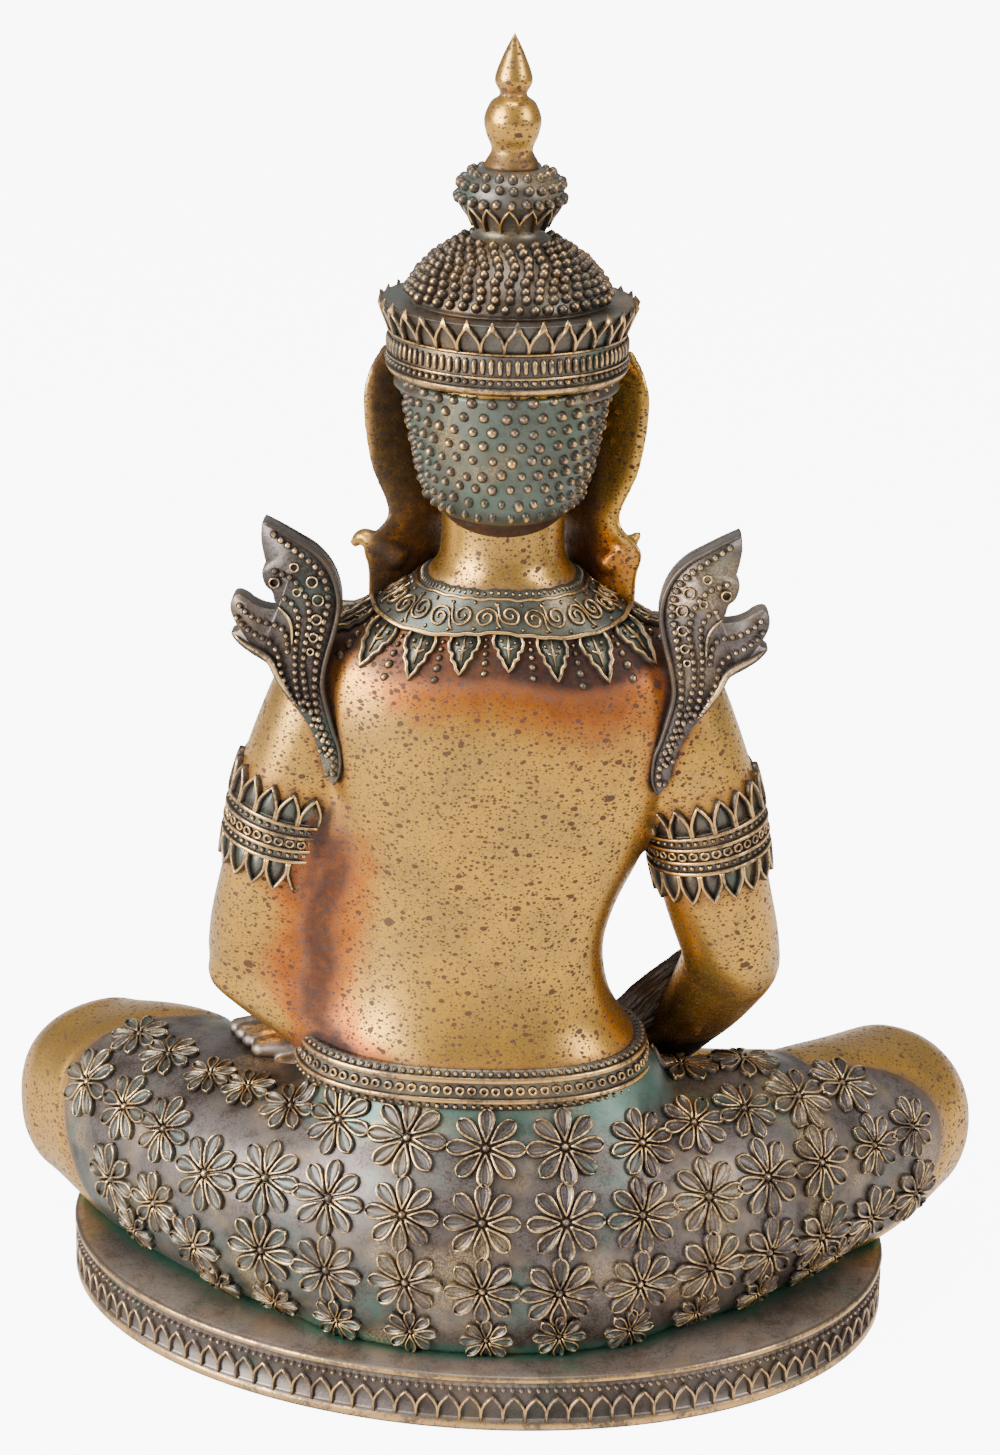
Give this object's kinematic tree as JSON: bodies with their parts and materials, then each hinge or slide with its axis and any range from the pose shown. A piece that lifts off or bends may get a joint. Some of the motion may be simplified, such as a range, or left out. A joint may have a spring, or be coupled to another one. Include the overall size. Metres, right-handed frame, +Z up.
{
  "type": "statue",
  "caption": "Seated crowned buddha statue in antiqued bronze, hands resting in the lap, with shoulder flames and flower-carved cloth, on a low oval plinth.",
  "frame": {"origin": "centre of the plinth's flat underside, at the level the statue stands on", "axes": "+Z up along the spire, -Y out of the figure's front, +X to the figure's left"},
  "size_m": [0.2308, 0.1452, 0.3],
  "materials": {
    "antique_bronze": "antiqued gold bronze with brown speckle, dark brown and verdigris patina in the carving",
    "dark_bronze": "dark brown bronze patina with gold on the worn edges"
  },
  "bodies": {
    "root": {"buddha_figure": "antique_bronze", "plinth": "dark_bronze"}
  },
  "joints": []
}
